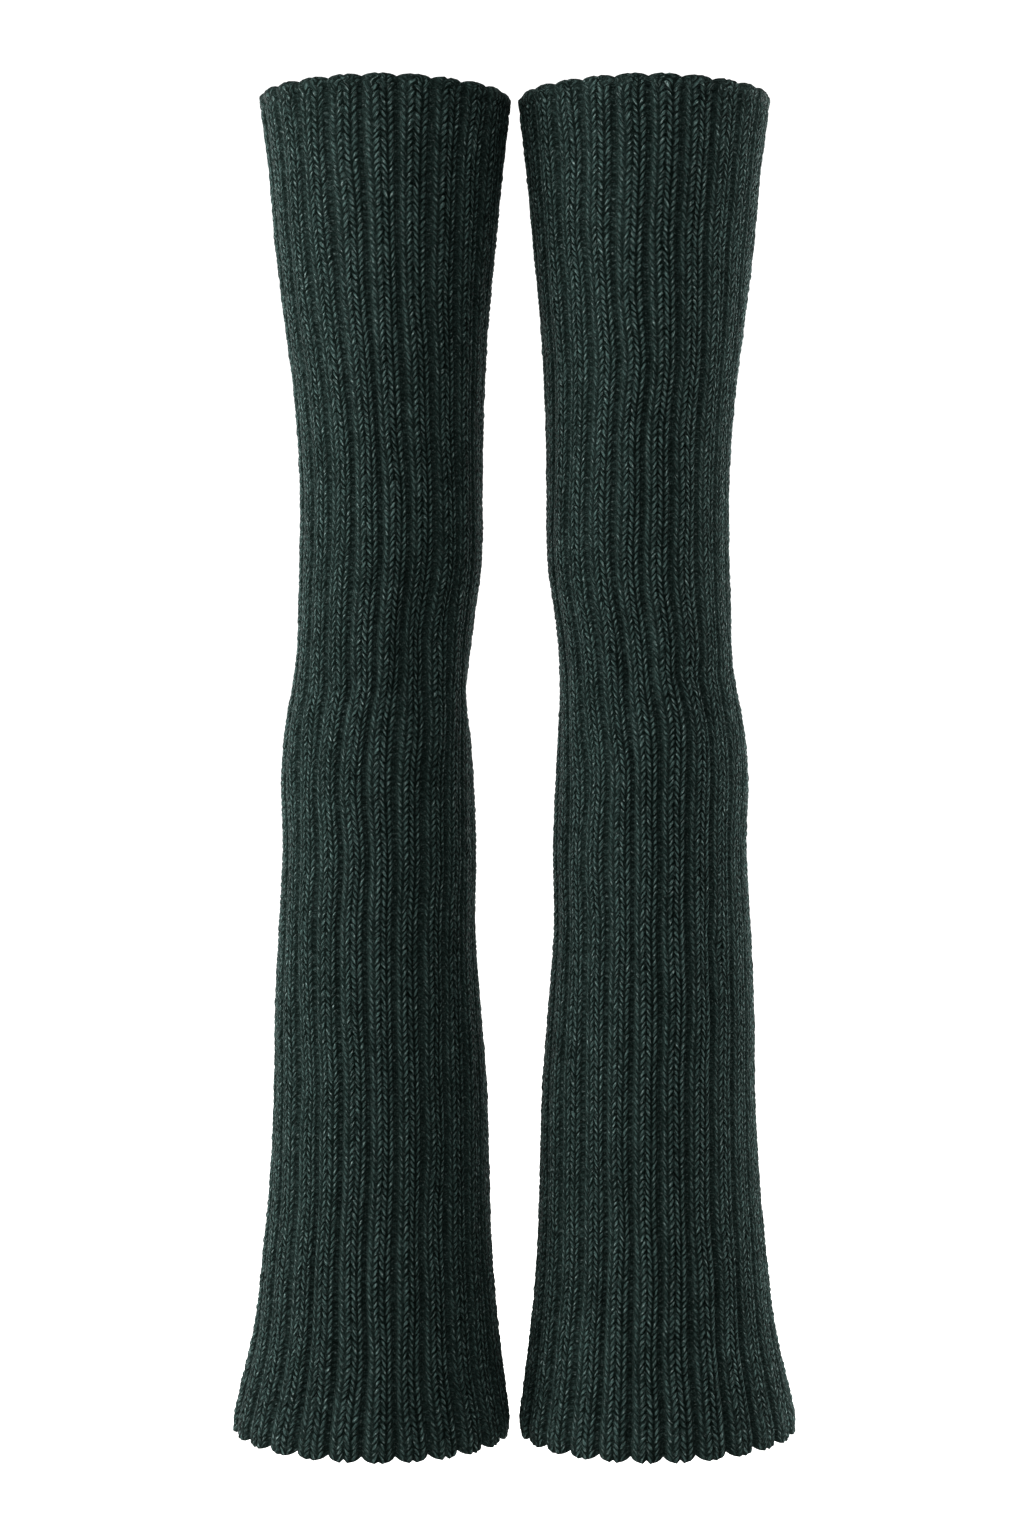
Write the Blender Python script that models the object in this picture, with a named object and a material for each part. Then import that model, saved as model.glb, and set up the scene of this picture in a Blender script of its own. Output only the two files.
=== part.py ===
# A pair of long arm warmers, knitted in the round in a chunky 2x2 rib, as they look when worn.
#
# Each warmer is one tube with a round wall of real thickness, open at both ends. It stands upright:
# the top edges lie at z = 0, the hems hang 580 mm below, and the front is the -Y side. The pair is
# mirrored about x = 0, and each warmer has soft folds of its own. All sizes below are in millimetres
# and are measured on one warmer, as the distance "drop" below the top edge and the distance "aside"
# round the wall from the middle of the front, positive towards the outer side.

from math import tau

import bmesh
import bpy
import numpy as np

MM = 0.001

RIBS = 26                  # ribs round the tube, two knit stitches each, with a valley of two purl ones
RIB_HEIGHT = 1.9           # from the bottom of a valley to the top of a rib
WALL = 1.7                 # cloth under a valley, so a rib is 3.6 mm thick in all
RIB_POINTS = 4             # outer points for each rib: crown, shoulder, valley, shoulder
RIB_SHAPE = (1.0, 0.74, 0.0, 0.74)    # height of those points, as a share of RIB_HEIGHT
RIB_STEPS = (0.0, 0.29, 0.5, 0.71)    # place of those points, as a share of one rib and valley

RIM_SCALLOP = 0.5          # how far a rib stands above a valley on the top edge
HEM_SCALLOP = 2.2          # how far a rib's rounded end hangs below a valley at the hem
HEM_RISE = 2.6             # how much higher the hem lies at the outer side than at the inner one
HEM_RISE_RUN = 80.0        # over this much of the tube above the hem

# The tube's outside at the rib crowns: the sides nearest to and furthest from the other warmer, the
# front and the back, and how far the front rib leans from the middle towards the other warmer.
# The elbow is at 235 to 260, where the forearm starts to come forward.
SECTIONS = (
    # drop, near side, far side, front, back, lean
    (0.0, 1.2, 112.3, -51.6, 50.0, 0.0),
    (30.0, 5.2, 107.8, -48.5, 48.0, -0.4),
    (60.0, 8.1, 105.1, -46.0, 46.0, 0.0),
    (95.0, 11.4, 100.9, -44.0, 43.5, 0.8),
    (130.0, 13.4, 96.5, -42.0, 41.0, 1.0),
    (165.0, 14.2, 94.2, -39.7, 39.5, 1.1),
    (200.0, 14.6, 94.4, -37.0, 40.0, 1.0),
    (235.0, 19.0, 96.2, -33.0, 41.8, 1.2),
    (256.0, 20.1, 98.2, -34.5, 42.0, 2.0),
    (272.0, 19.5, 100.6, -38.5, 41.3, 1.3),
    (292.0, 18.3, 102.1, -42.0, 40.2, 0.8),
    (325.0, 16.9, 101.4, -43.7, 39.0, 0.7),
    (360.0, 17.3, 102.9, -45.5, 38.0, 0.6),
    (395.0, 14.8, 104.4, -47.0, 37.0, 0.0),
    (430.0, 12.2, 104.7, -48.5, 36.5, -0.6),
    (465.0, 11.2, 106.2, -50.0, 36.0, -0.2),
    (500.0, 10.0, 109.4, -51.4, 36.2, 0.4),
    (535.0, 7.0, 113.5, -54.0, 37.4, 1.6),
    (560.0, 3.9, 119.0, -58.4, 39.4, 2.8),
    (580.0, 0.9, 123.5, -63.0, 41.6, 3.6),
)
LENGTH = SECTIONS[-1][0]

# The rolled top edge and the rounded hem: how far each row is drawn in from the crowns, and the share
# of the rib's height that is left there. The thin groove under the roll is at 6.6.
RIM_ROWS = (
    # drop, drawn in, rib share
    (0.0, 0.9, 0.35),
    (1.8, 0.1, 0.55),
    (4.4, 0.0, 0.70),
    (6.6, 0.7, 0.85),
    (10.0, 0.0, 1.00),
)
HEM_ROWS = (
    # height above the hem, drawn in, rib share
    (3.5, 0.0, 1.00),
    (0.0, 1.2, 0.60),
)
# Stretches of plain wall between them, each cut into even rows: rows lie closer at the elbow.
STRETCHES = (
    # from, to, rows
    (10.0, 200.0, 4),
    (200.0, 298.0, 7),
    (298.0, 565.0, 7),
)
INNER_DROP = 1.0           # the inside's first row lies this far in from either end

# Soft folds: a trough has a positive depth, a swell a negative one. Length is half its run down the
# tube, width half its breadth round it, and slant how far it moves aside for each step down.
LEFT_FOLDS = (
    # drop, aside, length, width, depth, slant
    (234.0, -20.0, 24.0, 11.0, 2.6, -0.10),
    (257.0, -6.0, 6.5, 30.0, 1.5, 0.00),
    (278.0, -14.0, 14.0, 16.0, -1.6, 0.00),
    (282.0, 30.0, 30.0, 7.0, 1.6, 0.35),
    (425.0, 34.0, 46.0, 7.5, 2.0, -0.08),
    (398.0, -36.0, 40.0, 8.0, 1.5, 0.06),
    (246.0, 66.0, 16.0, 12.0, 1.5, 0.50),
    (262.0, -66.0, 18.0, 12.0, 1.6, -0.45),
    (470.0, 118.0, 52.0, 9.0, 1.8, 0.05),
    (350.0, 98.0, 36.0, 8.0, 1.5, -0.10),
    (120.0, 132.0, 50.0, 10.0, 1.4, 0.06),
)
RIGHT_FOLDS = (
    # drop, aside, length, width, depth, slant
    (238.0, -9.0, 20.0, 13.0, 2.4, 0.05),
    (250.0, 6.0, 6.0, 24.0, 1.4, 0.00),
    (274.0, -2.0, 12.0, 14.0, -1.7, 0.00),
    (372.0, 22.0, 24.0, 6.0, 1.6, 0.10),
    (300.0, -34.0, 30.0, 8.0, 1.5, -0.25),
    (438.0, -30.0, 44.0, 8.0, 1.6, 0.05),
    (250.0, 64.0, 18.0, 12.0, 1.6, 0.45),
    (240.0, -84.0, 16.0, 12.0, 1.5, -0.50),
    (455.0, 122.0, 48.0, 9.0, 1.8, -0.04),
    (338.0, 104.0, 34.0, 8.0, 1.5, 0.10),
    (110.0, 136.0, 46.0, 10.0, 1.4, -0.06),
)

WOOL_GREEN = (0.021, 0.036, 0.033, 1.0)    # linear colour of the dark green melange yarn
WOOL_ROUGHNESS = 0.95


def smooth_column(column, drop):
    """One column of SECTIONS at any drop: a curve through its rows, without corners at them."""
    rows = np.array(SECTIONS)
    at, value = rows[:, 0], rows[:, column]
    slope = np.gradient(value, at)
    i = np.clip(np.searchsorted(at, drop, side="right") - 1, 0, len(at) - 2)
    run = at[i + 1] - at[i]
    t = (drop - at[i]) / run
    return (
        value[i] * (1 + 2 * t) * (1 - t) ** 2
        + value[i + 1] * t * t * (3 - 2 * t)
        + run * t * (1 - t) * (slope[i] * (1 - t) - slope[i + 1] * t)
    )


def even_angles(half_width, half_depth, share):
    """Angles round an ellipse, even by length along it, and that whole length. 0 is the front."""
    angle = np.linspace(0, tau, 721)
    pace = np.hypot(half_width * np.cos(angle), half_depth * np.sin(angle))
    along = np.concatenate([[0.0], np.cumsum((pace[1:] + pace[:-1]) / 2 * (angle[1] - angle[0]))])
    return np.interp((share % 1) * along[-1], along, angle), along[-1]


def fold_depth(folds, drop, aside, girth):
    """How far the soft folds push the wall in at places aside on one row."""
    depth = np.zeros(len(aside))
    for at, middle, length, width, deep, slant in folds:
        down = drop - at
        off = aside - middle - slant * down
        off -= girth * np.round(off / girth)
        depth += deep * np.exp(-((down / length) ** 2) - (off / width) ** 2)
    return depth


def ring(folds, drop, steps, inset, lower):
    """One row of points round the tube. inset is in from the crowns and lower is down, for each step."""
    near, far, front, back, lean = (smooth_column(k, drop) for k in range(1, 6))
    half_width, half_depth = (far - near) / 2, (back - front) / 2
    share = np.concatenate([(i + np.array(steps)) / RIBS for i in range(RIBS)])
    girth = even_angles(half_width, half_depth, 0.0)[1]
    angle, _ = even_angles(half_width, half_depth, share - lean / girth)
    inward = np.tile(inset, RIBS) + fold_depth(folds, drop, share * girth - lean, girth)
    out_x, out_y = np.sin(angle) / half_width, -np.cos(angle) / half_depth
    size = np.hypot(out_x, out_y)
    x = (near + far) / 2 + half_width * np.sin(angle) - inward * out_x / size
    y = (front + back) / 2 - half_depth * np.cos(angle) - inward * out_y / size
    rise = HEM_RISE * max(0.0, 1 - (LENGTH - drop) / HEM_RISE_RUN) * (1 + np.sin(angle)) / 2
    z = rise - drop - np.tile(lower, RIBS)
    return np.column_stack([x, y, z]) * MM


def outer_rows(folds):
    """The ribbed outside, from the top edge down to the hem."""
    shape, steps = np.array(RIB_SHAPE), RIB_STEPS
    plan = list(RIM_ROWS)
    for start, end, rows in STRETCHES:
        plan += [(drop, 0.0, 1.0) for drop in np.linspace(start, end, rows + 1)[1:]]
    plan += [(LENGTH - height, drawn, ribs) for height, drawn, ribs in HEM_ROWS]
    found = []
    for k, (drop, drawn, ribs) in enumerate(plan):
        inset = drawn + RIB_HEIGHT * ribs * (1 - shape)
        lower = np.zeros(RIB_POINTS)
        if k == 0:
            lower = RIM_SCALLOP * (1 - shape)
        if k >= len(plan) - len(HEM_ROWS):
            lower = -HEM_SCALLOP * (1 - shape)
        found.append(ring(folds, drop, steps, inset, lower))
    return found


def inner_rows(folds):
    """The plain inside, with one point behind each rib."""
    depth = np.array([RIB_HEIGHT + WALL])
    drops = [INNER_DROP, 14.0]
    for start, end, rows in STRETCHES:
        drops += list(np.linspace(max(start, 14.0), end, rows + 1)[1:])
    drops.append(LENGTH - HEM_SCALLOP - INNER_DROP)
    return [ring(folds, drop, (0.0,), depth, np.zeros(1)) for drop in drops]


def add_rows(bm, rows):
    """Adds the rows' points, and the bands of faces between them."""
    made = [[bm.verts.new(point) for point in row] for row in rows]
    for upper, lower in zip(made, made[1:]):
        for i in range(len(upper)):
            j = (i + 1) % len(upper)
            bm.faces.new((upper[i], upper[j], lower[j], lower[i]))
    return made


def close_end(bm, outer, inner):
    """Joins an outer row to the inner one, fanned from the two points behind each pair of ribs."""
    for i in range(RIBS):
        run = [outer[(i * RIB_POINTS + k) % len(outer)] for k in range(RIB_POINTS + 1)]
        here, there = inner[i], inner[(i + 1) % RIBS]
        bm.faces.new((here, run[0], run[1]))
        bm.faces.new((here, run[1], run[2]))
        bm.faces.new((here, run[2], there))
        bm.faces.new((there, run[2], run[3]))
        bm.faces.new((there, run[3], run[4]))


def wool():
    material = bpy.data.materials.new("dark_green_melange_wool")
    material.use_nodes = True
    shader = material.node_tree.nodes["Principled BSDF"]
    shader.inputs["Base Color"].default_value = WOOL_GREEN
    shader.inputs["Roughness"].default_value = WOOL_ROUGHNESS
    shader.inputs["Metallic"].default_value = 0.0
    material.diffuse_color = WOOL_GREEN
    return material


def warmer(name, folds, side):
    """One warmer: side is 1 for the one at +X and -1 for its mirrored partner."""
    bm = bmesh.new()
    outer = add_rows(bm, outer_rows(folds))
    inner = add_rows(bm, inner_rows(folds))
    close_end(bm, outer[0], inner[0])
    close_end(bm, outer[-1], inner[-1])
    bmesh.ops.scale(bm, vec=(side, 1.0, 1.0), verts=bm.verts)
    bmesh.ops.recalc_face_normals(bm, faces=bm.faces)
    mesh = bpy.data.meshes.new(name)
    bm.to_mesh(mesh)
    bm.free()
    mesh.materials.append(wool())
    mesh.shade_smooth()
    made = bpy.data.objects.new(name, mesh)
    bpy.context.scene.collection.objects.link(made)
    return made


for old in list(bpy.data.objects):
    bpy.data.objects.remove(old)

warmer("warmer_left", LEFT_FOLDS, -1)
warmer("warmer_right", RIGHT_FOLDS, 1)
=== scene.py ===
import math

import bpy
import numpy as np
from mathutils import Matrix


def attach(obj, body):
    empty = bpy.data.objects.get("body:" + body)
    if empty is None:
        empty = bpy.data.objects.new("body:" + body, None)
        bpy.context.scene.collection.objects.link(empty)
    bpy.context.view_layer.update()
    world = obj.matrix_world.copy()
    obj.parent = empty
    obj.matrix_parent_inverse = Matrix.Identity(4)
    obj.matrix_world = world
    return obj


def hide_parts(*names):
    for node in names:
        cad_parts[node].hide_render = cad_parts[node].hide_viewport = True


# A pair of long arm warmers in dark green melange wool, knitted in the round in a chunky 2x2 rib
# and filled out as if worn. Each half of a warmer is worked out as one grid: rows that follow the
# knitted courses and columns that follow the wales. Sizes are millimetres until the points go into
# a mesh.

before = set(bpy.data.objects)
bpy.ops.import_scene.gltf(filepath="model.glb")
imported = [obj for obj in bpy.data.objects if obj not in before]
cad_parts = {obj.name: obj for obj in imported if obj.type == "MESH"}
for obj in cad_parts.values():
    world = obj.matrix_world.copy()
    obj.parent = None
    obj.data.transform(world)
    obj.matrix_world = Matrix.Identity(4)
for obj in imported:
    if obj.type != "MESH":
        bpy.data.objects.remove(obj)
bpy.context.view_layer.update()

tube = {
    "ribs": 26,
    "sections": (
        # drop, near side, far side, front, back, lean of the front rib towards the other warmer
        (0.0, 1.2, 112.3, -51.6, 50.0, 0.0),
        (30.0, 5.2, 107.8, -48.5, 48.0, -0.4),
        (60.0, 8.1, 105.1, -46.0, 46.0, 0.0),
        (95.0, 11.4, 100.9, -44.0, 43.5, 0.8),
        (130.0, 13.4, 96.5, -42.0, 41.0, 1.0),
        (165.0, 14.2, 94.2, -39.7, 39.5, 1.1),
        (200.0, 14.6, 94.4, -37.0, 40.0, 1.0),
        (235.0, 19.0, 96.2, -33.0, 41.8, 1.2),
        (256.0, 20.1, 98.2, -34.5, 42.0, 2.0),
        (272.0, 19.5, 100.6, -38.5, 41.3, 1.3),
        (292.0, 18.3, 102.1, -42.0, 40.2, 0.8),
        (325.0, 16.9, 101.4, -43.7, 39.0, 0.7),
        (360.0, 17.3, 102.9, -45.5, 38.0, 0.6),
        (395.0, 14.8, 104.4, -47.0, 37.0, 0.0),
        (430.0, 12.2, 104.7, -48.5, 36.5, -0.6),
        (465.0, 11.2, 106.2, -50.0, 36.0, -0.2),
        (500.0, 10.0, 109.4, -51.4, 36.2, 0.4),
        (535.0, 7.0, 113.5, -54.0, 37.4, 1.6),
        (560.0, 3.9, 119.0, -58.4, 39.4, 2.8),
        (580.0, 0.9, 123.5, -63.0, 41.6, 3.6),
    ),
    "hemRise": 2.6,                # the hem lies this much higher at the outer side
    "hemRiseRun": 80.0,
    "inside": 3.5,                 # from the rib crowns to the inside of the wall
    "insideRib": 0.5,              # the purl stitches stand this far into the tube
    "insideStep": 13.0,            # row spacing inside,
    "insideReach": (30.0, 25.0),   # from this drop down to this height above the hem
    "insideEndStep": 3.1,          # the closer rows near both ends,
    "insideEndRun": 22.0,          # over this run
}

# The ribs aren't spaced evenly: those in front are wider by the spread, and they drift by some
# millimetres towards the other warmer.
ribRuns = {
    "left": (
        # drop, spread, drift
        (0.0, 0.22, 0.0), (44.0, 0.24, 0.4), (94.0, 0.26, 0.4), (145.0, 0.26, 1.5),
        (170.0, 0.28, 2.4), (220.0, 0.32, 3.0), (258.0, 0.32, 3.8), (296.0, 0.24, 2.9),
        (321.0, 0.20, 2.3), (360.0, 0.20, 3.3), (422.0, 0.12, 3.5), (473.0, 0.06, 3.3),
        (548.0, 0.04, 2.4), (580.0, 0.10, 2.5),
    ),
    "right": (
        # drop, spread, drift
        (0.0, 0.18, 8.4), (69.0, 0.20, 8.2), (94.0, 0.24, 6.4), (120.0, 0.26, 4.6),
        (170.0, 0.30, 4.8), (220.0, 0.34, 5.8), (258.0, 0.28, 4.4), (290.0, 0.22, 3.5),
        (321.0, 0.18, 3.5), (360.0, 0.16, 4.2), (422.0, 0.12, 4.2), (473.0, 0.08, 4.2),
        (548.0, 0.05, 4.0), (580.0, 0.06, 4.4),
    ),
}

# Soft folds: depth is inwards, length is half the run down the tube, width half the breadth round
# it, and slant how far the fold moves aside for each step down. aside is from the middle of the
# front. A negative depth is a soft swell.
folds = {
    "left": (
        # drop, aside, length, width, depth, slant
        (234.0, -20.0, 26.0, 10.0, 4.2, -0.10),
        (241.0, -8.6, 21.0, 2.8, 1.6, 0.03),
        (273.0, -6.0, 11.0, 2.6, 1.2, -0.22),
        (226.0, -31.0, 18.0, 3.0, 1.1, 0.20),
        (249.0, 8.0, 15.0, 3.2, 0.9, 0.30),
        (372.0, -18.0, 26.0, 3.0, 0.9, -0.06),
        (236.0, 96.0, 19.0, 3.0, 1.3, 0.16),
        (256.0, 124.0, 14.0, 3.4, 1.2, -0.24),
        (244.0, 146.0, 22.0, 3.0, 1.0, 0.10),
        (257.0, -6.0, 6.0, 30.0, 2.3, 0.12),
        (277.0, -14.0, 12.0, 18.0, -2.0, 0.00),
        (282.0, 30.0, 30.0, 7.0, 1.6, 0.35),
        (425.0, 34.0, 46.0, 7.5, 2.0, -0.08),
        (398.0, -36.0, 40.0, 8.0, 1.5, 0.06),
        (246.0, 66.0, 16.0, 12.0, 1.5, 0.50),
        (262.0, -66.0, 18.0, 12.0, 1.6, -0.45),
        (470.0, 118.0, 52.0, 9.0, 1.8, 0.05),
        (350.0, 98.0, 36.0, 8.0, 1.5, -0.10),
        (120.0, 132.0, 50.0, 10.0, 1.4, 0.06),
    ),
    "right": (
        # drop, aside, length, width, depth, slant
        (238.0, -9.0, 22.0, 12.0, 4.0, 0.05),
        (241.0, -16.0, 23.0, 2.9, 1.5, 0.34),
        (254.0, -5.0, 11.0, 3.0, 1.2, 0.42),
        (265.0, 24.0, 19.0, 2.8, 1.2, 0.27),
        (250.0, 13.0, 16.0, 3.4, 1.0, 0.36),
        (351.0, 13.0, 22.0, 2.7, 1.3, 0.00),
        (366.0, 27.0, 12.0, 3.2, 1.1, 0.45),
        (246.0, 92.0, 17.0, 3.0, 1.2, -0.30),
        (234.0, 118.0, 21.0, 3.2, 1.3, 0.12),
        (262.0, 140.0, 15.0, 3.0, 1.0, 0.26),
        (251.0, 4.0, 6.0, 26.0, 2.2, -0.15),
        (273.0, -2.0, 12.0, 16.0, -2.0, 0.00),
        (372.0, 22.0, 24.0, 6.0, 1.6, 0.10),
        (300.0, -34.0, 30.0, 8.0, 1.5, -0.25),
        (438.0, -30.0, 44.0, 8.0, 1.6, 0.05),
        (250.0, 64.0, 18.0, 12.0, 1.6, 0.45),
        (240.0, -84.0, 16.0, 12.0, 1.5, -0.50),
        (455.0, 122.0, 48.0, 9.0, 1.8, -0.04),
        (338.0, 104.0, 34.0, 8.0, 1.5, 0.10),
        (110.0, 136.0, 46.0, 10.0, 1.4, -0.06),
    ),
}

knit = {
    "course": 2.75,                # height of one knitted row
    # grid rows in a course: the gap between two yarns, then the yarn's two sides
    "rows": (0.0, 0.32, 0.68),
    "rowHeight": (-1.0, 0.6, 0.6),
    "climb": 1.22,                 # courses that one leg of a V climbs
    "climbRuns": (8.0, 12.0),      # the Vs start from flat over these runs, at the top and the hem
    "ribRelief": 1.8,              # depth of the grooves between ribs
    "hemRelief": 0.42,             # they grow this much deeper towards the hem, as the ribs spread
    "hemReliefRun": 130.0,
    "yarnRelief": 0.42,
    "unevenHeight": 0.14,          # random height of each leg of a V
    "unevenLeg": 0.80,             # how far the legs of one course ride up and down past each other
    "unevenLegRun": 7.0,
    "unevenAside": 0.80,           # slow wandering of the wales
    "unevenAsideRun": 30.0,
    "unevenDown": 0.50,            # slow wandering of the courses
    "unevenDownRun": 22.0,
    "unevenDownCells": 8,          # round the tube
    "unevenRib": 0.12,             # change in the ribs' height
    "unevenRibRun": 45.0,
    "evenRun": 20.0,               # the wandering fades out over this run at both ends
    "girth": 300.0,                # round the tube, for the wales' wandering
    "insideOpened": (0.35, 0.4),   # painted shade inside the tube: its openness to light, and the ribs' share in it
    "insideSoft": 0.4,             # the yarn is this much less crisp inside
    "legs": 5,                     # a rib is five legs wide: four of its two Vs, one for the groove
    "columns": (
        # legs across, place across a rib, rib height, climb, crispness of the yarn, and openness:
        # the painted shade, lowest in the groove and at the Vs' points
        (0.0, 0.000, 0.00, 1.0, 0.40, 0.30),    # the groove, where two purl stitches fold away
        (0.5, 0.085, 0.62, 1.0, 0.40, 0.52),
        (1.0, 0.175, 0.88, 0.5, 0.70, 0.78),    # the first leg lies soft beside the purl stitches
        (1.5, 0.280, 0.80, 0.0, 0.60, 0.40),    # point of the first V
        (2.0, 0.385, 1.02, 0.5, 1.00, 1.00),
        (2.5, 0.495, 0.90, 1.0, 1.00, 0.66),    # between the two wales
        (3.0, 0.605, 1.02, 0.5, 1.00, 1.00),
        (3.5, 0.705, 0.72, 0.0, 0.90, 0.25),    # point of the second V
        (4.0, 0.805, 0.98, 0.5, 1.00, 1.00),
        (4.5, 0.905, 0.58, 1.0, 0.80, 0.54),
    ),
}

edges = {
    "capHeight": 1.7,              # roundness of both ends
    "capSteps": 5,
    "capCourses": 1.4,             # courses that lie round each end
    "rimBand": 6.0,                # the rolled bound-off edge, and the thin groove under it
    "grooveDepth": 0.7,
    "grooveWidth": 1.2,
    "rimRibShare": 0.50,           # ribs are lower on the roll
    "rimRibRun": 7.0,
    "rimNotch": 1.2,               # the top edge dips this far at a groove
    "rimNotchRun": 7.0,
    "rimMess": (1.1, 0.8),         # the end is bound off unevenly, by these legs and courses
    "rimMessRun": 10.0,
    "rimMessCells": (0.7, 2.2),    # cells for each leg across, and millimetres of a cell down
    "rimRise": 3.0,                # the top edge stands this much higher at the two sides
    "rimRiseRun": 45.0,
    "rimTuck": 1.3,                # the roll draws in at its very end
    "rimTuckRun": 3.0,
    "hemNotch": 2.5,               # depth of the hem's scallops
    "hemNotchRun": 9.0,
    "hemTuck": 1.1,                # the last stitches curl in
    "hemTuckRun": 5.0,
    "insideTuck": 0.6,             # share of both tucks that the inside of the wall follows
    "lobeRoundness": 0.75,         # each rib ends in a round lobe, parted by a dip in its middle
    "lobeDip": (0.40, 0.30),       # the dip's depth and how much that varies
    "lobeDipPlace": (0.495, 0.13),  # its place across the rib and half its width
}

length = tube["sections"][-1][0]
sectionMargin = 5                  # the sections are worked out so many millimetres past both ends
noiseRows = 1024                   # rows of random values, before the noise repeats down the tube


def smoothStep(t):
    # 3t^2 - 2t^3 between 0 and 1, flat outside
    t = np.clip(t, 0, 1)
    return t * t * (3 - 2 * t)


def sectionTable():
    # every column of the sections at each millimetre: a cubic through the rows, with the slope at a
    # row taken from its two neighbours
    rows = np.array(tube["sections"])
    at = rows[:, 0]
    drop = np.arange(-sectionMargin, length + sectionMargin + 1.0)
    i = np.clip(np.searchsorted(at, drop, side="right") - 1, 0, len(at) - 2)
    run = at[i + 1] - at[i]
    t = (drop - at[i]) / run
    columns = []
    for value in rows[:, 1:].T:
        slope = np.gradient(value, at)
        columns.append(value[i] * (1 + 2 * t) * (1 - t) ** 2 + value[i + 1] * t * t * (3 - 2 * t)
                       + run * t * (1 - t) * (slope[i] * (1 - t) - slope[i + 1] * t))
    return drop, columns


sectionDrop, sectionColumns = sectionTable()


def smoothNoise(across, down, wrap, seed):
    # random values on a square lattice, blended by smooth steps; it repeats after wrap cells across
    lattice = np.random.default_rng(seed).uniform(-1, 1, (noiseRows, wrap))
    across, down = np.broadcast_arrays(across, down)
    i, j = np.floor(across).astype(int), np.floor(down).astype(int)
    a, b = smoothStep(across - i), smoothStep(down - j)
    left, right, upper, lower = i % wrap, (i + 1) % wrap, j % noiseRows, (j + 1) % noiseRows
    low = lattice[upper, left] * (1 - a) + lattice[upper, right] * a
    high = lattice[lower, left] * (1 - a) + lattice[lower, right] * a
    return low * (1 - b) + high * b


def foldDepth(table, drop, aside, girth):
    # sum of bell-shaped troughs, depth * exp(-(down / length)^2 - (aside / width)^2)
    depth = np.zeros(drop.shape)
    for at, middle, run, width, deep, slant in table:
        down = drop - at
        off = aside - middle - slant * down
        off = off - girth * np.round(off / girth)
        depth += deep * np.exp(-(down / run) ** 2 - (off / width) ** 2)
    return depth


def wallPoints(name, drop, share, inward, side):
    # an ellipse through the section's four sides, walked evenly by length: with s = 2 pi share, the
    # angle solves angle = s - e sin(2 angle), which four rounds settle; the point then moves in
    # along the ellipse's normal. Before that come the ribs' spread, share + spread sin(2 pi share)
    # / 2 pi, and their lean
    near, far, front, back, lean = (np.interp(drop, sectionDrop, c) for c in sectionColumns)
    at, spread, drift = np.array(ribRuns[name]).T
    share = share + np.interp(drop, at, spread) * np.sin(math.tau * share) / math.tau
    lean = lean + np.interp(drop, at, drift)
    halfWidth, halfDepth = (far - near) / 2, (back - front) / 2
    even = (halfWidth ** 2 - halfDepth ** 2) / (halfWidth ** 2 + halfDepth ** 2) / 4
    girth = math.tau * np.sqrt((halfWidth ** 2 + halfDepth ** 2) / 2) * (1 - even ** 2)
    walked = math.tau * (share - lean / girth)
    angle = walked
    for _ in range(4):
        angle = walked - even * np.sin(2 * angle)
    inward = inward + foldDepth(folds[name], drop, share * girth - lean, girth)
    outX, outY = np.sin(angle) / halfWidth, -np.cos(angle) / halfDepth
    size = np.hypot(outX, outY)
    x = (near + far) / 2 + halfWidth * np.sin(angle) - inward * outX / size
    y = (front + back) / 2 - halfDepth * np.cos(angle) - inward * outY / size
    rise = tube["hemRise"] * np.clip(1 - (length - drop) / tube["hemRiseRun"], 0, None)
    z = rise * (1 + np.sin(angle)) / 2 - drop
    z = z + edges["rimRise"] * np.sin(angle) ** 4 * smoothStep(1 - drop / edges["rimRiseRun"])
    return np.stack([side * x, y, z], axis=-1)


def rowPlan():
    # the grid's rows, once round the wall: down the outside, round the hem, up the inside and round
    # the top. layer is 0 outside and 1 inside, yarn the row's place in a course's relief, and count
    # the courses so far
    cap, capCourses = edges["capHeight"], edges["capCourses"]
    run = length - 2 * cap
    courses = int(round(run / knit["course"]))
    step = run / courses
    along = (np.arange(courses)[:, None] + np.array(knit["rows"])).ravel() * step
    along = np.append(along, run)
    yarn = np.append(np.tile(knit["rowHeight"], courses), knit["rowHeight"][0])
    turn = np.linspace(0, np.pi, edges["capSteps"] + 2)[1:-1]
    layerCap, rise = (1 - np.cos(turn)) / 2, cap * np.sin(turn)
    nearEnds = np.arange(0, tube["insideEndRun"], tube["insideEndStep"])
    first, last = tube["insideReach"]
    inside = np.concatenate([nearEnds, np.arange(first, run - last, tube["insideStep"]),
                             run - nearEnds[::-1]])[::-1]
    down = np.concatenate([cap + along, length - cap + rise, cap + inside, cap - rise])
    layer = np.concatenate([along * 0, layerCap, inside * 0 + 1, layerCap[::-1]])
    capCount = turn / np.pi * capCourses
    upInside = courses + capCourses + (inside[0] - inside) / step
    count = np.concatenate([along / step, courses + capCount, upInside, upInside[-1] + capCount])
    yarn = np.concatenate([yarn, layerCap * 0, inside * 0, layerCap * 0])
    return down, layer, yarn, count, len(along)


def ribColumns(side):
    # the columns of one rib, turned round on the mirrored warmer, so that both are knitted alike
    table, legs = np.array(knit["columns"]), knit["legs"]
    if side < 0:
        table = table[np.append(0, np.arange(len(table) - 1, 0, -1))]
        table[:, 0], table[:, 1] = (legs - table[:, 0]) % legs, (1 - table[:, 1]) % 1
    return table.T


def endLobes(place, ribIndex, seed):
    # 1 in a groove and 0 on the round lobes between: 1 - |sin(pi place)|^roundness, with a second,
    # uneven dip in the middle of each rib, between its two wales
    middle, halfWidth = edges["lobeDipPlace"]
    depth, varied = edges["lobeDip"]
    dip = depth + varied * smoothNoise(ribIndex, 0, tube["ribs"], seed)
    return np.maximum(1 - np.abs(np.sin(np.pi * place)) ** edges["lobeRoundness"],
                      dip * smoothStep(1 - np.abs(place - middle) / halfWidth))


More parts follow.
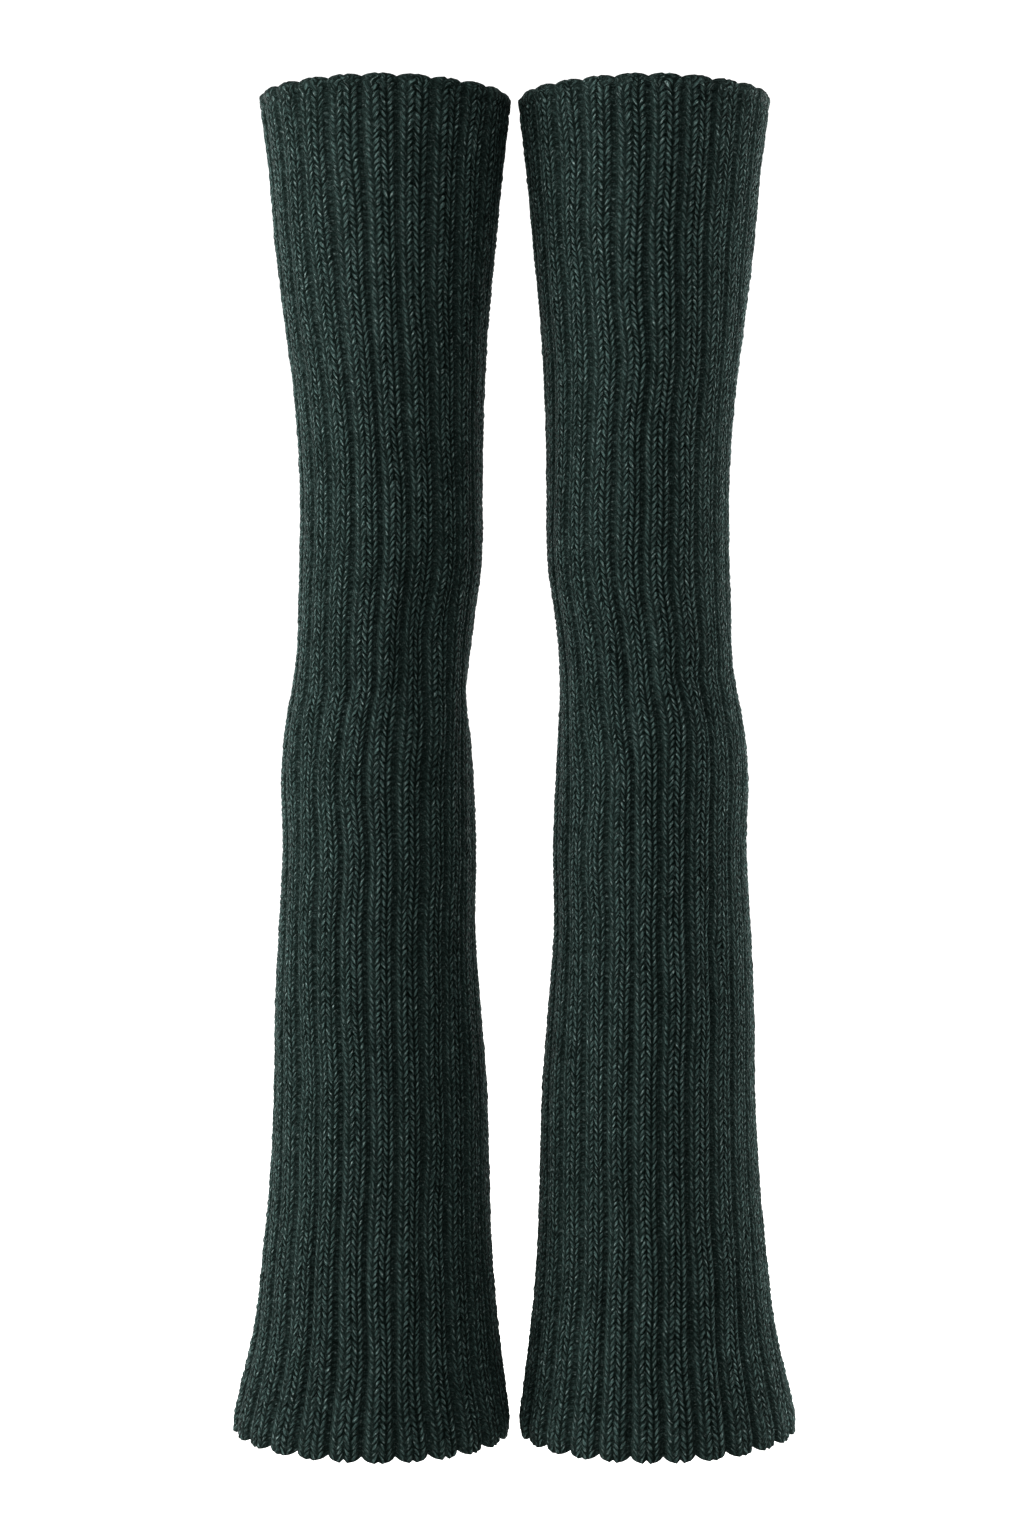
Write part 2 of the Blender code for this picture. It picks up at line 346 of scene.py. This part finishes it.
def warmerGrid(name, side, firstRib, ribCount, seed):
    # one strip of a warmer as a grid of points, with what its material reads at each point
    ribs, course = tube["ribs"], knit["course"]
    legsRound = ribs * knit["legs"]
    ribIndex = np.repeat(np.arange(firstRib, firstRib + ribCount), len(knit["columns"]))
    ribIndex = np.append(ribIndex, firstRib + ribCount)
    leg, place, ribHeight, climb, crisp, openness = (
        np.append(np.tile(column, ribCount), column[0]) for column in ribColumns(side))
    leg = leg + knit["legs"] * ribIndex
    share = (ribIndex + place - 0.5) / ribs
    down, layer, yarn, count, outerRows = rowPlan()
    down, layer, yarn = down[:, None], layer[:, None], yarn[:, None]
    outside = 1 - layer
    fromTop = down - edges["capHeight"] - edges["rimBand"]
    fromHem = length - edges["capHeight"] - down

    # the courses zigzag: a V's point lies lower than the outer ends of its legs, but not at the
    # tube's ends
    topRun, hemRun = knit["climbRuns"]
    slope = smoothStep(fromTop / topRun + 0.5) * smoothStep(fromHem / hemRun)
    drop = down - knit["climb"] * course * climb * slope * outside

    # slow wandering of wales and courses, and lobes at both ends
    wander = smoothNoise(share * ribs, drop / knit["unevenAsideRun"], ribs, seed)
    cells = knit["unevenDownCells"]
    wanderDown = smoothNoise(share * cells, drop / knit["unevenDownRun"], cells, seed + 1)
    inner = smoothStep(fromTop / knit["evenRun"]) * smoothStep(fromHem / knit["evenRun"])
    legShift = smoothNoise(leg, drop / knit["unevenLegRun"], legsRound, seed + 4)
    drop = drop + (knit["unevenDown"] * wanderDown + knit["unevenLeg"] * legShift * outside) * inner
    nearTop = smoothStep(1 - down / edges["rimNotchRun"])
    nearHem = smoothStep(1 - (length - down) / edges["hemNotchRun"])
    drop = drop + nearTop * edges["rimNotch"] * endLobes(place, ribIndex, seed + 7)
    drop = drop - nearHem * edges["hemNotch"] * endLobes(place, ribIndex, seed + 8)

    # how far each point lies inside the crowns of the ribs
    rng = np.random.default_rng(seed + 2)
    uneven = np.clip(rng.normal(0, 1, (int(count.max()) + 3, legsRound)), -2, 2)
    uneven = uneven[count.astype(int)][:, np.round(leg).astype(int) % legsRound]
    onRoll = smoothStep(1 - (fromTop + edges["rimBand"]) / edges["rimRibRun"])
    ribDepth = 1 + knit["hemRelief"] * smoothStep(1 - (length - down) / knit["hemReliefRun"])
    ribDepth = ribDepth + knit["unevenRib"] * smoothNoise(
        ribIndex, drop / knit["unevenRibRun"], ribs, seed + 3)
    ribDepth = knit["ribRelief"] * (1 - (1 - edges["rimRibShare"]) * onRoll) * ribDepth
    underRoll = edges["grooveDepth"] * np.exp(-(fromTop / edges["grooveWidth"]) ** 2)
    rimTuck = edges["rimTuck"] * smoothStep(1 - down / edges["rimTuckRun"]) ** 2
    hemTuck = edges["hemTuck"] * smoothStep(1 - fromHem / edges["hemTuckRun"])
    outerIn = (ribDepth * (1 - ribHeight) + underRoll + rimTuck + hemTuck
               - knit["yarnRelief"] * yarn * crisp * slope - knit["unevenHeight"] * uneven * crisp)
    innerIn = (tube["inside"] + tube["insideRib"] * (1 - 2 * ribHeight)
               + (hemTuck + rimTuck) * edges["insideTuck"])
    share = share + knit["unevenAside"] * wander * inner / knit["girth"]
    points = wallPoints(name, drop, share, outerIn * outside + innerIn * layer, side)

    # the yarn's map: legs across, and courses down; a whole number is a gap between two yarns
    courses = count[:, None] + knit["climb"] * climb * (1 - slope * outside)
    mess = smoothStep(1 - down / edges["rimMessRun"]) * outside
    across, height = edges["rimMessCells"]
    wrap = int(round(legsRound * across))
    turned = [mess * size * smoothNoise(leg * across, down / height, wrap, seed + 5 + i)
              for i, size in enumerate(edges["rimMess"])]
    # opened is painted shade for the material: open to light on the crowns, darker in the grooves,
    # at the Vs' points and all through the inside
    shaded, byRib = knit["insideOpened"]
    ownYarn = legsRound * (seed % 7)        # so that the two warmers don't repeat each other's yarn
    return {"points": points, "leg": leg + turned[0] + ownYarn, "course": courses + turned[1],
            "opened": openness * outside + (shaded + byRib * openness) * layer,
            "crisp": crisp * (1 - knit["insideSoft"] * layer), "outerRows": outerRows}


def buildMesh(name, grid, side):
    # quads between neighbouring rows and columns, closed round the rows; the two cut sides are
    # closed by strips of triangles between the outside's rows and the inside's
    points = grid["points"] * 0.001
    rows, columns = points.shape[:2]
    index = np.arange(rows * columns).reshape(rows, columns)
    below = index + columns        # past the last row is the first again, further on in the map
    quads = np.stack([index[:, :-1], below[:, :-1], below[:, 1:], index[:, 1:]], axis=-1)
    quads = quads.reshape(-1, 4)
    triangles = np.concatenate([quads[:, [0, 1, 2]], quads[:, [0, 2, 3]]])
    for column, flip in ((0, False), (columns - 1, True)):
        outer = index[:grid["outerRows"], column]
        inner = index[grid["outerRows"]:, column][::-1]
        depth = -points.reshape(-1, 3)[:, 2]
        outerAt, innerAt = (np.maximum.accumulate(depth[rim]) for rim in (outer, inner))
        across = np.searchsorted(innerAt, (outerAt[1:] + outerAt[:-1]) / 2)
        across = np.maximum.accumulate(np.clip(across, 0, len(inner) - 1))
        back = np.searchsorted(across, np.arange(len(inner) - 1), side="right")
        strip = np.concatenate([np.stack([outer[:-1], outer[1:], inner[across]], axis=-1),
                                np.stack([inner[1:], inner[:-1], outer[back]], axis=-1)])
        triangles = np.concatenate([triangles, strip[:, ::-1] if flip else strip])
    if side < 0:
        triangles = triangles[:, ::-1]
    onMap = triangles.reshape(-1)
    triangles = triangles % (rows * columns)
    mesh = bpy.data.meshes.new(name)
    mesh.vertices.add(rows * columns)
    mesh.vertices.foreach_set("co", points.reshape(-1))
    mesh.loops.add(triangles.size)
    mesh.loops.foreach_set("vertex_index", triangles.reshape(-1).astype(np.int32))
    mesh.polygons.add(len(triangles))
    mesh.polygons.foreach_set("loop_start", np.arange(0, triangles.size, 3, dtype=np.int32))
    mesh.polygons.foreach_set("use_smooth", np.ones(len(triangles), bool))
    mesh.update(calc_edges=True)
    flat = np.stack([grid["leg"], grid["course"]], axis=-1)
    flat = np.concatenate([flat, flat[:1] + (0, np.ceil(flat[-1, 0, 1]))]).reshape(-1, 2)
    uv = mesh.uv_layers.new(name="yarn")
    uv.data.foreach_set("uv", flat[onMap].reshape(-1).astype(np.float32))
    for key in ("opened", "crisp"):
        layer = mesh.attributes.new(key, "FLOAT", "POINT")
        layer.data.foreach_set("value", grid[key].reshape(-1).astype(np.float32))
    onSide = np.zeros(rows * columns, bool)
    onSide[index[:, [0, -1]]] = True
    pairs = np.empty(len(mesh.edges) * 2, np.int32)
    mesh.edges.foreach_get("vertices", pairs)
    sharp = mesh.attributes.get("sharp_edge")
    sharp = sharp or mesh.attributes.new("sharp_edge", "BOOLEAN", "EDGE")
    sharp.data.foreach_set("value", onSide[pairs.reshape(-1, 2)].all(axis=1))
    piece = bpy.data.objects.new(name, mesh)
    bpy.context.scene.collection.objects.link(piece)
    return piece


def toLinear(hexColour):
    # sRGB hex to linear light, with the curve's straight foot under 0.04045
    part = np.array([int(hexColour[i:i + 2], 16) for i in (1, 3, 5)]) / 255
    linear = np.where(part <= 0.04045, part / 12.92, ((part + 0.055) / 1.055) ** 2.4)
    return (*(float(v) for v in linear), 1.0)


def addNode(tree, kind, settings=None, links=None, output=0):
    # a node with its settings, which are inputs by name or number, or else the node's own, and its
    # links; gives back one output
    node = tree.nodes.new("ShaderNode" + kind)
    for key, value in (settings or {}).items():
        if isinstance(key, int) or key in node.inputs:
            node.inputs[key].default_value = value
        else:
            setattr(node, key, value)
    for key, source in (links or {}).items():
        tree.links.new(source, node.inputs[key])
    return node.outputs[output] if node.outputs else node


# Melange wool, carded and plied: dyed and pale fibres are blended before spinning, which gives the
# eye a dark green that is never one flat colour, with pale flecks along the yarn and a soft matt
# bloom.
wool = {
    "gap": "#040d0a",              # painted shade between two yarns, where hardly any light comes back
    "dark": "#1b2927",
    "body": "#57716d",
    "pale": "#a2b7b3",
    "legReach": 0.82,              # how much of a leg's length stands clear
    "yarnReach": 0.80,             # and of the yarn's thickness
    "softYarn": 0.40,              # what shows in place of the strands where the yarn is soft
    "wander": 0.5,                 # the strands wander by this share of a leg and of a course
    "noises": {
        # cells for each leg across and each course, detail, and curl. A leg of a V is 4.1 mm of
        # yarn 1.4 mm thick.
        "wobble": ((1.2, 1.4, 1), 1.0, 0.0),
        "wobbleDown": ((1.6, 0.8, 1), 1.0, 0.0),
        "haze": ((0.9, 0.8, 1), 2.0, 0.0),       # where loose fibres hide the strands
        "fleck": ((2.4, 3.1, 1), 2.0, 0.0),      # 1.7 x 0.45 mm
        # 2.2 x 0.17 mm, some eight times as thick as real, to show
        "fibre": ((1.9, 8.2, 1), 3.0, 0.0),
        "hair": ((1.1, 1.5, 1), 1.5, 1.2),       # stray fibres, along the lines where it is even
        "fuzz": ((3.6, 4.6, 1), 4.0, 0.0),
        "cloud": ((0.22, 0.11, 1), 2.0, 0.0),
    },
    # where each soft step begins and ends
    "strandStep": (1.15, 0.15),
    "hazeStep": (0.36, 0.56),
    "fleckStep": (0.54, 0.74),
    "fuzzStep": (0.40, 0.60),
    "openedStep": (0.0, 0.9),
    "hairStep": (0.0, 0.035),
    "haze": 0.65,                  # how strong each of them is
    "fleck": 0.8,
    "fuzz": 0.72,
    "hair": 0.55,
    "shut": 0.07,                  # floor of the painted shade: light that still comes back where nothing is open to it
    "legTone": 0.5,                # shades between dark and body: each leg's own,
    "fibreTone": 1.3,              # the fibres'
    "cloudTone": 0.7,              # and slow clouds
    "baseTone": -0.72,
    "bumpFuzz": 0.35,              # share of the fuzz and the fibres in the fine relief
    "bumpFibre": 0.35,
    "bumpDepth": 0.0004,           # metres
    "roughness": 0.8,
    "ior": 1.5,
    "specular": 0.03,
    "sheen": 0.05,
    "sheenRoughness": 0.35,
    "sheenTint": "#9db0ab",
}


def melangeWool(name):
    # strand is 1 along the middle of a yarn and 0 in a gap, paintedShading the share of light that
    # comes back, and the colour goes from the gap's painted shade to the flecked wool by the product
    # of the two: shade painted into the colour
    material = bpy.data.materials.new(name)
    material.use_nodes = True
    tree = material.node_tree
    tree.nodes.clear()
    uv = addNode(tree, "UVMap", {"uv_map": "yarn"})
    opened = addNode(tree, "Attribute", {"attribute_name": "opened"}, output="Fac")
    crisp = addNode(tree, "Attribute", {"attribute_name": "crisp"}, output="Fac")
    noise = {}
    for key, (scale, detail, curl) in wool["noises"].items():
        cells = addNode(tree, "Mapping", {"Scale": scale}, {"Vector": uv})
        noise[key] = addNode(tree, "TexNoise", {"Scale": 1.0, "Detail": detail, "Distortion": curl},
                             {"Vector": cells})
    step = {key: {"interpolation_type": "SMOOTHSTEP", "From Min": wool[key + "Step"][0],
                  "From Max": wool[key + "Step"][1]}
            for key in ("strand", "haze", "fleck", "fuzz", "opened", "hair")}

    # where the point lies: 0 to 1 from a leg's ends to its middle, and from the yarn's middle to
    # the gap. The map wanders by a noise whose mean is a half, so half the wander comes off again
    leg = addNode(tree, "SeparateXYZ", {}, {0: uv})
    course = leg.node.outputs[1]
    place = []
    for value, wobble in ((leg, "wobble"), (course, "wobbleDown")):
        value = addNode(tree, "Math", {"operation": "MULTIPLY_ADD", 1: wool["wander"]},
                        {0: noise[wobble], 2: value})
        value = addNode(tree, "Math", {"operation": "SUBTRACT", 1: wool["wander"] / 2}, {0: value})
        value = addNode(tree, "Math", {"operation": "PINGPONG", 1: 0.5}, {0: value})
        place.append(addNode(tree, "Math", {"operation": "MULTIPLY", 1: 2.0}, {0: value}))
    fromMiddle, toMiddle = place

    # each leg shows as a soft lozenge: it fades out as the sum of both squares passes 1
    along = addNode(tree, "Math", {"operation": "MULTIPLY", 1: 1 / wool["legReach"]},
                    {0: fromMiddle})
    across = addNode(tree, "Math", {"operation": "MULTIPLY_ADD", 1: -1 / wool["yarnReach"],
                                    2: 1 / wool["yarnReach"]}, {0: toMiddle})
    along = addNode(tree, "Math", {"operation": "POWER", 1: 2.0}, {0: along})
    across = addNode(tree, "Math", {"operation": "POWER", 1: 2.0}, {0: across})
    strand = addNode(tree, "Math", {"operation": "ADD"}, {0: along, 1: across})
    strand = addNode(tree, "MapRange", step["strand"], {"Value": strand})
    clear = addNode(tree, "MapRange", {**step["haze"], "To Min": 1 - wool["haze"]},
                    {"Value": noise["haze"]})
    clear = addNode(tree, "Math", {"operation": "MULTIPLY"}, {0: clear, 1: crisp})
    strand = addNode(tree, "Mix", {2: wool["softYarn"]}, {0: clear, 3: strand})

    # each leg has a shade of its own
    ownLeg = addNode(tree, "Mapping", {"Location": (0.5, 0, 0)}, {"Vector": uv})
    ownLeg = addNode(tree, "VectorMath", {"operation": "FLOOR"}, {0: ownLeg})
    own = addNode(tree, "TexWhiteNoise", {"noise_dimensions": "2D"}, {"Vector": ownLeg})
    tone = addNode(tree, "Math", {"operation": "MULTIPLY_ADD", 1: wool["legTone"],
                                  2: wool["baseTone"]}, {0: own})
    tone = addNode(tree, "Math", {"operation": "MULTIPLY_ADD", 1: wool["fibreTone"]},
                   {0: noise["fibre"], 2: tone})
    tone = addNode(tree, "Math", {"operation": "MULTIPLY_ADD", 1: wool["cloudTone"],
                                  "use_clamp": True}, {0: noise["cloud"], 2: tone})
    body = addNode(tree, "Mix", {"data_type": "RGBA", 6: toLinear(wool["dark"]),
                                 7: toLinear(wool["body"])}, {0: tone}, 2)
    fleck = addNode(tree, "MapRange", {**step["fleck"], "To Max": wool["fleck"]},
                    {"Value": noise["fleck"]})
    flecked = addNode(tree, "Mix", {"data_type": "RGBA", 7: toLinear(wool["pale"])},
                      {0: fleck, 6: body}, 2)

    # painted shade: less light comes back from between the strands, from the grooves, and from
    # between the fibres, so the colour darkens there
    fuzz = addNode(tree, "MapRange", {**step["fuzz"], "To Min": 1 - wool["fuzz"]},
                   {"Value": noise["fuzz"]})
    paintedShading = addNode(tree, "MapRange", {**step["opened"], "To Min": wool["shut"]}, {"Value": opened})
    paintedShading = addNode(tree, "Math", {"operation": "MULTIPLY"}, {0: paintedShading, 1: fuzz})
    hair = addNode(tree, "Math", {"operation": "SUBTRACT", 1: 0.5}, {0: noise["hair"]})
    hair = addNode(tree, "Math", {"operation": "ABSOLUTE"}, {0: hair})
    hair = addNode(tree, "MapRange", {**step["hair"], "To Min": wool["hair"], "To Max": 0.0},
                   {"Value": hair})
    strand = addNode(tree, "Math", {"operation": "MAXIMUM"}, {0: strand, 1: hair})
    paintedShading = addNode(tree, "Math", {"operation": "MULTIPLY"}, {0: paintedShading, 1: strand})
    colour = addNode(tree, "Mix", {"data_type": "RGBA", 6: toLinear(wool["gap"])},
                     {0: paintedShading, 7: flecked}, 2)

    height = addNode(tree, "Math", {"operation": "MULTIPLY_ADD", 1: wool["bumpFuzz"]},
                     {0: noise["fuzz"], 2: strand})
    height = addNode(tree, "Math", {"operation": "MULTIPLY_ADD", 1: wool["bumpFibre"]},
                     {0: noise["fibre"], 2: height})
    bump = addNode(tree, "Bump", {"Strength": 1.0, "Distance": wool["bumpDepth"]},
                   {"Height": height})
    shader = addNode(tree, "BsdfPrincipled", {
        "Roughness": wool["roughness"], "IOR": wool["ior"], "Specular IOR Level": wool["specular"],
        "Sheen Weight": wool["sheen"], "Sheen Roughness": wool["sheenRoughness"],
        "Sheen Tint": toLinear(wool["sheenTint"]),
    }, {"Base Color": colour, "Normal": bump})
    addNode(tree, "OutputMaterial", {}, {"Surface": shader})
    return material


pair = {
    "cutWidth": 0.180,      # the cloth of one half in metres, pulled open flat: 52 stitches of about
    "cutLength": 0.586,     # 3.46 mm, and 211 courses with the rounding of both ends
    "halfRibs": 13,
    "halves": (("front", -6), ("back", 7)),          # with each half's first rib
    "warmers": (("left", -1, 11), ("right", 1, 47)),  # side, and the seed of its uneven knit
}

for name, side, seed in pair["warmers"]:
    material = melangeWool("melangeWoolYarn" + name.capitalize())
    for half, firstRib in pair["halves"]:
        grid = warmerGrid(name, side, firstRib, pair["halfRibs"], seed)
        piece = buildMesh(f"{name}_{half}", grid, side)
        piece.data.materials.append(material)
        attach(piece, "root")
        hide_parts("warmer_" + name)
        print(piece.name, len(piece.data.polygons), "triangles")


# The studio's sizes are metres.
studio = {
    "floorHeight": -0.86,
    "floorMiddle": 0.6,              # radius of the floor's flat middle
    "floorReach": 2.1,
    "corner": 0.9,
    "cornerSteps": 13,
    "sides": 72,
    "wallHeight": 3.4,
    "floorColour": "#b9b9b7",
    "wallColour": "#000000",         # the wall throws no light back but gives its own all round
    "wallGlow": 0.52,
    "wallGlowRise": 0.5,
    "glow": (0.10, 1.25),            # glow of the paper in front of the pair, and behind it, where
    "glowFrom": 0.25,                # it reads as a white ground; one becomes the other between
    "glowTo": 0.66,                  # these two places in y
    "paperRoughness": 0.9,
    "white": "#ffffff",
    "worldLight": 0.16,
    "lights": {
        # place, target, size, power in watts
        "key": ((-1.00, -0.36, -0.12), (-0.1, 0, -0.25), (0.5, 0.5), 13.5),
        "top": ((-0.30, -0.95, 0.80), (0, 0, 0.10), (0.8, 0.5), 9.0),
        "edgeLeft": ((-0.95, 1.20, -0.15), (0, 0, -0.29), (0.5, 1.0), 25.0),
        "edgeRight": ((0.95, 1.20, -0.15), (0, 0, -0.29), (0.5, 1.0), 28.0),
        "side": ((1.15, 0.12, -0.25), (0, 0, -0.29), (0.4, 0.4), 13.0),
    },
    "eyeDistance": 1.010,
    "eyeHeight": -0.291,
    "eyeAside": -0.00114,
    "millimetresPerPixel": 0.4394,   # at the tubes' middle, in the 1024 x 1536 image
    "imageHeight": 1536,
}


def paperSweep():
    # round paper sweep: the floor, a quarter circle up and the wall, turned once round the pair
    corner, sides = studio["corner"], studio["sides"]
    turn = np.linspace(0, math.pi / 2, studio["cornerSteps"])
    radius = np.concatenate([[studio["floorMiddle"]], studio["floorReach"] + corner * np.sin(turn)])
    z = np.concatenate([[0.0], corner * (1 - np.cos(turn))])
    radius = np.append(radius, radius[-1])
    z = np.append(z, studio["wallHeight"]) + studio["floorHeight"]
    around = np.arange(sides) * math.tau / sides
    points = np.stack(np.broadcast_arrays(radius[:, None] * np.cos(around),
                                          radius[:, None] * np.sin(around), z[:, None]), axis=-1)
    ring = np.arange(len(radius) * sides).reshape(len(radius), sides)
    onward = np.roll(ring, -1, axis=1)
    faces = np.stack([ring[:-1], ring[1:], onward[1:], onward[:-1]], axis=-1).reshape(-1, 4)
    mesh = bpy.data.meshes.new("sweep")
    mesh.from_pydata(points.reshape(-1, 3).tolist(), [], faces.tolist() + [ring[0].tolist()])
    mesh.shade_smooth()
    piece = bpy.data.objects.new("sweep", mesh)
    bpy.context.scene.collection.objects.link(piece)
    return piece


def whitePaper():
    # matt paper off a roll, which gives the eye one even tone with no gleam; it glows behind the
    # pair and up the wall, by smooth steps of y and z
    material = bpy.data.materials.new("whitePaperSweep")
    material.use_nodes = True
    tree = material.node_tree
    tree.nodes.clear()
    behind = addNode(tree, "SeparateXYZ", {}, {0: addNode(tree, "TexCoord", output="Object")}, "Y")
    glow = addNode(tree, "MapRange", {
        "interpolation_type": "SMOOTHSTEP", "From Min": studio["glowFrom"],
        "From Max": studio["glowTo"], "To Min": studio["glow"][0], "To Max": studio["glow"][1],
    }, {"Value": behind})
    up = addNode(tree, "MapRange", {
        "interpolation_type": "SMOOTHSTEP", "From Min": studio["floorHeight"],
        "From Max": studio["floorHeight"] + studio["wallGlowRise"],
    }, {"Value": behind.node.outputs["Z"]})
    wall = addNode(tree, "Math", {"operation": "MULTIPLY", 1: studio["wallGlow"]}, {0: up})
    glow = addNode(tree, "Math", {"operation": "MAXIMUM"}, {0: glow, 1: wall})
    paper = addNode(tree, "Mix", {"data_type": "RGBA", 6: toLinear(studio["floorColour"]),
                                  7: toLinear(studio["wallColour"])}, {0: up}, 2)
    shader = addNode(tree, "BsdfPrincipled", {
        "Roughness": studio["paperRoughness"], "Specular IOR Level": 0.0,
        "Emission Color": toLinear(studio["white"]),
    }, {"Base Color": paper, "Emission Strength": glow})
    addNode(tree, "OutputMaterial", {}, {"Surface": shader})
    material.cycles.emission_sampling = "NONE"      # so large a light is met by chance often enough
    return material


def areaLight(name, place, target, size, power):
    # turned so that it shines from its place towards the target, and not seen itself
    lamp = bpy.data.lights.new(name, "AREA")
    lamp.shape, lamp.size, lamp.size_y = "RECTANGLE", size[0], size[1]
    lamp.energy, lamp.color = power, toLinear(studio["white"])[:3]
    thing = bpy.data.objects.new(name, lamp)
    bpy.context.scene.collection.objects.link(thing)
    thing.location = place
    away = np.array(place) - np.array(target)
    away = away / np.linalg.norm(away)
    thing.rotation_euler = (math.acos(away[2]), 0, math.atan2(away[0], -away[1]))
    thing.visible_camera = False


def camera():
    # level with the pair's middle; the angle of view spans the image's height at the eye's distance
    lens = bpy.data.cameras.new("camera")
    lens.sensor_fit = "VERTICAL"
    seen = studio["imageHeight"] * studio["millimetresPerPixel"] * 0.001
    lens.angle_y = 2 * math.atan(seen / 2 / studio["eyeDistance"])
    thing = bpy.data.objects.new("camera", lens)
    bpy.context.scene.collection.objects.link(thing)
    thing.location = (studio["eyeAside"], -studio["eyeDistance"], studio["eyeHeight"])
    thing.rotation_euler = (math.pi / 2, 0, 0)
    bpy.context.scene.camera = thing


sweep = paperSweep()
sweep.data.materials.append(whitePaper())
for name, values in studio["lights"].items():
    areaLight(name, *values)
world = bpy.data.worlds.new("studio")
world.use_nodes = True
background = world.node_tree.nodes["Background"]
background.inputs["Color"].default_value = toLinear(studio["white"])
background.inputs["Strength"].default_value = studio["worldLight"]
bpy.context.scene.world = world
bpy.context.scene.view_settings.view_transform = "Standard"
camera()
print("studio ready")
